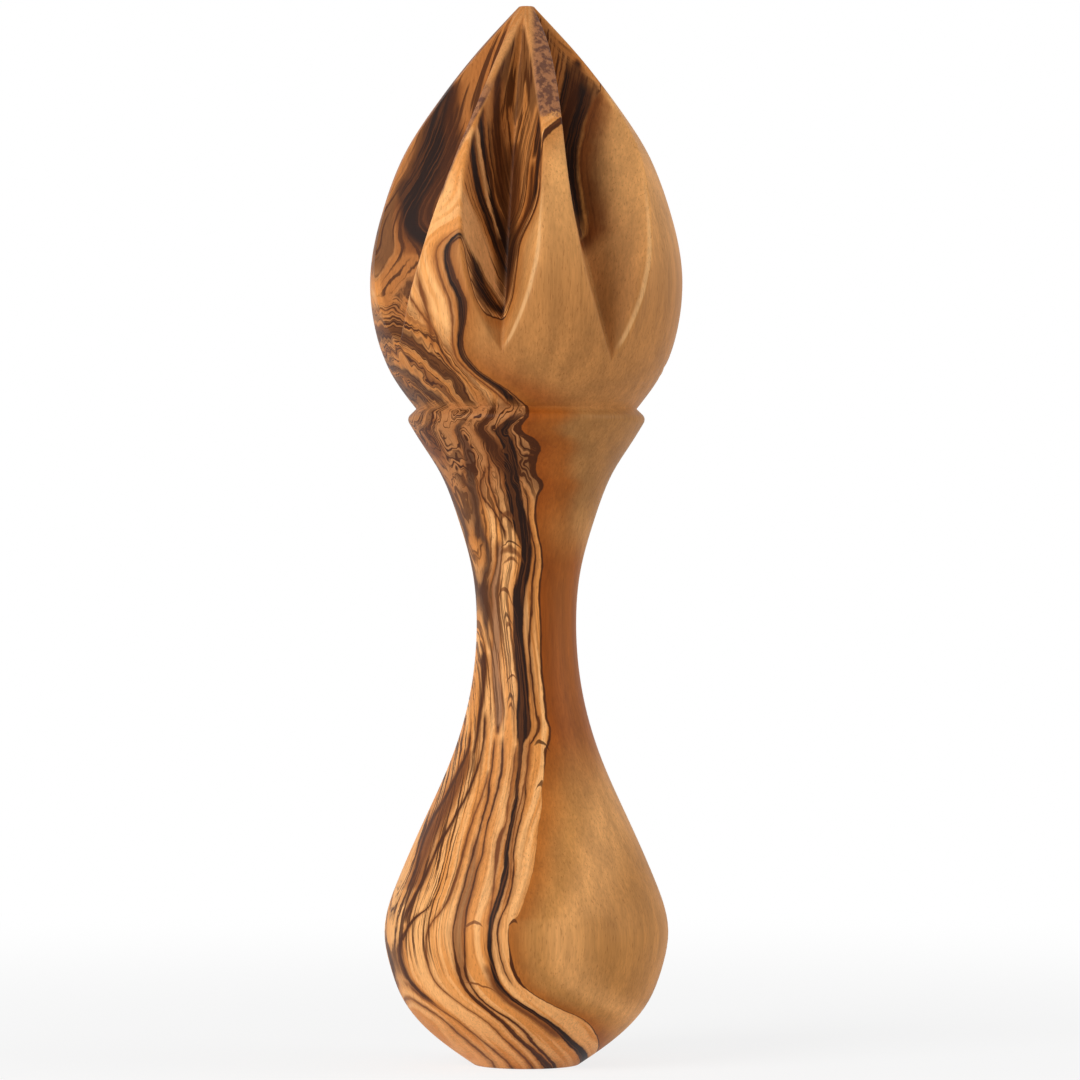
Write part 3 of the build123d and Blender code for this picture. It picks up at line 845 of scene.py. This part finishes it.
class FluteSide:
    """One side of one flute at one height, from its bottom to the turned face beside it.
    Angles run from the bottom."""

    def __init__(self, bearing, side, distance, half, radius, rubbed):
        self.bearing, self.side, self.distance, self.half, self.radius = bearing, side, distance, half, radius
        self.cut = distance < radius - 0.01
        if not self.cut:
            return
        wall_angle = half - asin(distance * sin(half) / radius)
        length = radius * cos(half - wall_angle) - distance * cos(half)
        turn = pi / 2 - (half - wall_angle)
        self.root = min(ROOT_ROUNDING, 0.45 * length * tan(half))
        self.arris = min(rubbed, 0.5 * length / tan(turn / 2))
        reach = self.root / tan(half)
        centre = half - asin((distance * sin(half) - self.arris) / (radius - self.arris))
        far = radius - self.arris
        start = atan2(far * sin(centre) - self.arris * cos(half), far * cos(centre) + self.arris * sin(half))
        self.knots = [0.0, atan2(reach * sin(half), distance + reach * cos(half)), start, centre]

    def spread(self, room):
        """The angles of root, wall, arris and turned face, which even out where the flute has run out."""
        even = [0.0, 0.2 * room, 0.5 * room, 0.8 * room]
        if self.cut:
            least = 0.02 * room
            return [max(knot, least * i) for i, knot in enumerate(self.knots)]
        share = smooth_step((self.distance - self.radius) / (0.25 * self.radius))
        return [max(share, 0.02 * 5 / 4) * angle for angle in even]

    def radius_at(self, angle):
        if not self.cut or angle >= self.knots[3]:
            return self.radius
        if angle <= self.knots[1]:
            far = self.distance + self.root / sin(self.half)
            return far * cos(angle) - sqrt(max(self.root ** 2 - (far * sin(angle)) ** 2, 0))
        if angle <= self.knots[2]:
            return self.distance * sin(self.half) / sin(self.half - angle)
        far, turn = self.radius - self.arris, angle - self.knots[3]
        return far * cos(turn) + sqrt(max(self.arris ** 2 - (far * sin(turn)) ** 2, 0))


def carved_ring(radius, height, paths):
    """The (bearing, radius) of every column of the mesh at one height."""
    share = smooth_step((RUBBED_FROM - height) / (RUBBED_FROM - RUBBED_BELOW))
    rubbed = CRISP_ARRIS + (RUBBED_ARRIS - CRISP_ARRIS) * share
    sides = []
    for half, path in paths:
        up = max(height, FLUTE_HEIGHTS[3]) - FLUTE_HEIGHTS[2]
        x, y, way_x, way_y = [np.polyval(path[:, i], up) for i in range(4)]
        bottom, way = atan2(x, -y), atan2(way_x, -way_y)
        distance = sqrt(x * x + y * y) if height > FLUTE_HEIGHTS[3] else 2 * radius
        for side in (-1, 1):
            lean = (way - bottom + pi) % (2 * pi) - pi
            arris = rubbed if side > 0 else CRISP_ARRIS
            sides.append(FluteSide(bottom, side, distance, half + side * lean, radius, arris))
    ring = []
    count = len(sides)
    for i, here in enumerate(sides):
        there = sides[(i + here.side) % count]
        room = (here.side * (there.bearing - here.bearing)) % (2 * pi) / 2
        angles = here.spread(room)
        beyond = there.spread(room)
        angles.append(room + (angles[3] - beyond[3]) / 2)
        steps = [0.0]
        for segment, columns in enumerate(COLUMNS):
            for column in range(1, columns + 1):
                share = column / columns
                steps.append(angles[segment] + share * (angles[segment + 1] - angles[segment]))
        line = [(here.bearing + here.side * angle, here.radius_at(angle)) for angle in steps]
        ring += line[:0:-1] if here.side < 0 else line[:-1]
    return ring


def carved_reamer():
    """The turned blank, spun round its axis, with the flutes carved into it column by column."""
    shape = bmesh.new()
    corners = [shape.verts.new((0, -point[0], point[1])) for point in turned_outline()]
    edges = [shape.edges.new(pair) for pair in zip(corners, corners[1:])]
    columns = len(FLUTES) * 2 * sum(COLUMNS)
    bmesh.ops.spin(shape, geom=corners + edges, axis=(0, 0, 1), angle=2 * pi, steps=columns, use_merge=True)
    bmesh.ops.remove_doubles(shape, verts=shape.verts, dist=1e-4)
    paths = flute_paths()
    rings = {}
    for corner in shape.verts:
        radius = sqrt(corner.co.x ** 2 + corner.co.y ** 2)
        if radius < 1e-3:
            continue
        key = (round(radius, 3), round(corner.co.z, 3))
        if key not in rings:
            rings[key] = carved_ring(radius, corner.co.z, paths)
        column = round(atan2(corner.co.x, -corner.co.y) / (2 * pi) * columns) % columns
        bearing, radius = rings[key][column]
        corner.co.x, corner.co.y = radius * sin(bearing), -radius * cos(bearing)
    bmesh.ops.scale(shape, verts=shape.verts, vec=(MM, MM, MM))
    bmesh.ops.recalc_face_normals(shape, faces=shape.faces)
    for face in shape.faces:
        face.smooth = True
    mesh = bpy.data.meshes.new("carved_reamer")
    shape.to_mesh(mesh)
    mesh.set_sharp_from_angle(angle=radians(35))
    piece = bpy.data.objects.new("carved_reamer", mesh)
    bpy.context.scene.collection.objects.link(piece)
    piece.data.materials.append(olive_wood())
    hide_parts("reamer")
    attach(piece, "root")


carved_reamer()


# Light that the surroundings give the object. The floor, in metres, is partly lit near the object, so that it
# takes the shadow, and plain white further out.
SURROUNDING_LIGHT = 0.33
FLOOR_RADIUS, SHADE_FROM, SHADE_TO, SHADE_WHITE = 0.9, 0.04, 0.3, 0.8


def seen(tree, ray):
    """1 for the rays that show the background: to the camera, and in gloss and glass."""
    return add(
        tree, "Math",
        add(tree, "Math", ray.outputs["Is Camera Ray"], ray.outputs["Is Glossy Ray"], operation="MAXIMUM"),
        ray.outputs["Is Transmission Ray"], operation="MAXIMUM")


def studio():
    """Pale floor, white surroundings, two soft boxes and the photograph's camera."""
    world = bpy.data.worlds.new("studio_surroundings")
    world.use_nodes = True
    tree = world.node_tree
    tree.nodes.clear()
    ray = add(tree, "LightPath")
    strength = add(tree, "MapRange", {"Value": seen(tree, ray), "To Min": SURROUNDING_LIGHT, "To Max": 1.0})
    background = add(tree, "Background", {"Color": (1, 1, 1, 1), "Strength": strength})
    add(tree, "OutputWorld", {"Surface": background})
    bpy.context.scene.world = world

    floor_mesh = bmesh.new()
    bmesh.ops.create_circle(floor_mesh, cap_ends=True, segments=96, radius=FLOOR_RADIUS)
    mesh = bpy.data.meshes.new("floor")
    floor_mesh.to_mesh(mesh)
    floor = bpy.data.objects.new("floor", mesh)
    bpy.context.scene.collection.objects.link(floor)
    paint = bpy.data.materials.new("matt_white_paint")
    paint.use_nodes = True
    tree = paint.node_tree
    tree.nodes.clear()
    ray = add(tree, "LightPath")
    lit = add(tree, "BsdfDiffuse", {"Color": (0.9, 0.9, 0.9, 1)})
    white = add(tree, "Emission", {"Color": (1, 1, 1, 1), "Strength": 1.0})
    far = add(tree, "VectorMath", add(tree, "TexCoord").outputs["Object"], operation="LENGTH").outputs["Value"]
    share = add(
        tree, "Math", seen(tree, ray), add(tree, "MapRange", far, SHADE_FROM, SHADE_TO, SHADE_WHITE, 1.0, **EASED),
        operation="MULTIPLY")
    mixed = add(tree, "MixShader", share, lit, white)
    add(tree, "OutputMaterial", {"Surface": mixed})
    mesh.materials.append(paint)

    middle = Vector((0, 0, HEIGHT_MM / 2 * MM))
    for name, spot, size, power in (
        ("key_soft_box", (-0.62, -0.62, 0.42), 0.55, 6.3),
        ("side_soft_box", (0.75, -0.12, 0.25), 0.45, 2.0),
    ):
        lamp = bpy.data.lights.new(name, "AREA")
        lamp.shape = "SQUARE"
        lamp.size = size
        lamp.energy = power
        box = bpy.data.objects.new(name, lamp)
        box.location = spot
        box.rotation_euler = (middle - Vector(spot)).to_track_quat("-Z", "Y").to_euler()
        bpy.context.scene.collection.objects.link(box)

    camera_data = bpy.data.cameras.new("camera")
    camera_data.sensor_width = SENSOR_MM
    camera_data.lens = FOCAL_PIXELS / PHOTO_PIXELS * SENSOR_MM
    camera_data.clip_start = 0.01
    camera = bpy.data.objects.new("camera", camera_data)
    camera.location = [c * MM for c in CAMERA_PLACE_MM]
    camera.rotation_euler = (radians(90), 0, 0)
    bpy.context.scene.collection.objects.link(camera)
    bpy.context.scene.camera = camera
    bpy.context.scene.view_settings.view_transform = "Standard"


studio()
